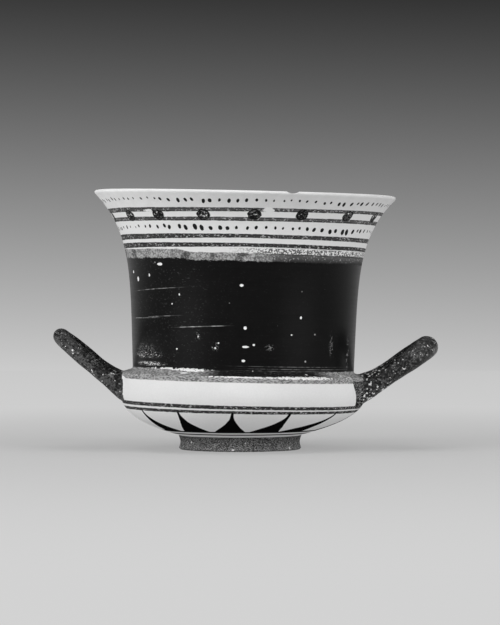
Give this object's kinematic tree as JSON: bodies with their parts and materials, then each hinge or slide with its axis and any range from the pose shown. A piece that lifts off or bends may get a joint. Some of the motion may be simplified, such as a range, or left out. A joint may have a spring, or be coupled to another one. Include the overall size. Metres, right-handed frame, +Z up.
{
  "type": "two-handled drinking cup",
  "caption": "Fired-clay drinking cup with a tall flaring wall on a ledged low bowl and ring foot, and upswept loop handles at the shoulder.",
  "frame": {"origin": "on the surface the cup stands on, under the middle of its bounding box", "axes": "+X through the two handles, +Z up, and the pictured front at -Y"},
  "size_m": [0.1846, 0.1444, 0.1243],
  "materials": {
    "painted_clay": "satin"
  },
  "bodies": {
    "root": {"cup": "painted_clay"}
  },
  "joints": []
}
